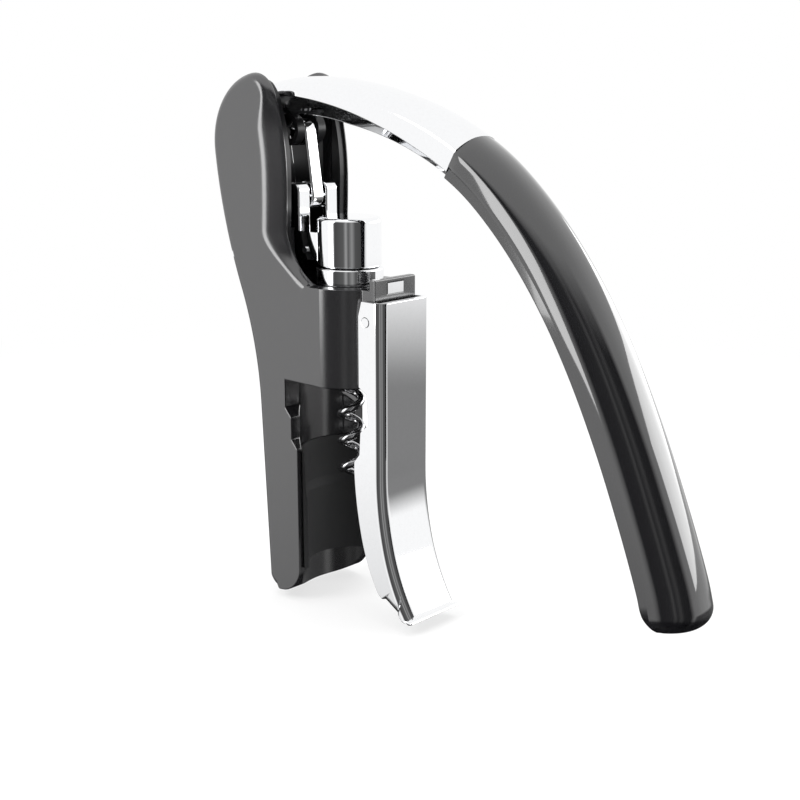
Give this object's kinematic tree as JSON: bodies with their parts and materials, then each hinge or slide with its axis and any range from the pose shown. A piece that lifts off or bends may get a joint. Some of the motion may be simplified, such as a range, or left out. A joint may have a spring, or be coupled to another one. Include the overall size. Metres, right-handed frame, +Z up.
{
  "type": "hand-held lever corkscrew",
  "caption": "Upright lever corkscrew: black body with round collar and rear neck grip, chrome hinged front jaw, long curved lever that lifts a geared worm carriage.",
  "frame": {"origin": "middle of the neck clamp, on the worm's axis", "axes": "+Z up along the worm, away from the bottle; +X from the body towards the lever's hanging grip; XZ is the symmetry plane"},
  "size_m": [0.1831, 0.034, 0.1731],
  "materials": {
    "body_black": "satin",
    "frame_black": "matte",
    "chrome": "polished",
    "steel_pins": "turned",
    "worm_steel": "satin",
    "grip_gloss": "gloss",
    "rubber": "matte",
    "nylon": "matte"
  },
  "bodies": {
    "frame": {"body_shell": "body_black", "guide_plate_right": "frame_black", "guide_plate_left": "frame_black", "lever_pivot_pin": "steel_pins", "frame_spacer": "steel_pins", "pivot_washers": "nylon", "upper_side_pins": "steel_pins", "lower_side_pins": "steel_pins", "front_catch": "chrome", "jaw_hinge_pin": "chrome", "rear_neck_pad": "rubber", "lip_seat_ring": "rubber", "worm_guide_ring": "chrome", "worm_nut": "nylon", "nut_retainer": "steel_pins"},
    "lever": {"lever_arm": "chrome", "grip_cover": "grip_gloss", "grip_insert": "grip_gloss", "grip_screws": "steel_pins"},
    "carriage": {"carriage": "chrome", "link_lower_pin": "steel_pins", "carriage_cross_pin": "chrome", "guide_shoes": "nylon", "worm_cap": "chrome", "worm_thrust_washer": "steel_pins", "worm_retaining_clip": "steel_pins"},
    "link": {"link": "chrome", "link_upper_pin": "steel_pins"},
    "worm": {"worm": "worm_steel"},
    "jaw": {"front_jaw": "chrome", "jaw_insert": "rubber"}
  },
  "joints": [
    {"name": "lever_swing", "type": "hinge", "parent": "frame", "child": "lever", "pos_m": [-0.0375, 0, 0.139], "axis": [0, -1, 0], "range_deg": [0, 108]},
    {"name": "carriage_slide", "type": "slide", "parent": "frame", "child": "carriage", "axis": [0, 0, 1], "range_m": [0, 0.0351]},
    {"name": "link_swing", "type": "hinge", "parent": "carriage", "child": "link", "pos_m": [-0.018, 0, 0.1117], "axis": [0, -1, 0], "range_deg": [0, 53]},
    {"name": "worm_spin", "type": "hinge", "parent": "carriage", "child": "worm", "pos_m": [0, 0, 0.097], "axis": [0, 0, 1], "range_deg": [0, 1327]},
    {"name": "jaw_swing", "type": "hinge", "parent": "frame", "child": "jaw", "pos_m": [0.018, 0, 0.0753], "axis": [0, -1, 0], "range_deg": [0, 14]}
  ],
  "couplings": [
    {"joint": "carriage_slide", "follows": "lever_swing", "m_per_rad": 0.018568},
    {"joint": "link_swing", "follows": "lever_swing", "ratio": 0.49},
    {"joint": "worm_spin", "follows": "lever_swing", "ratio": 12.281}
  ]
}
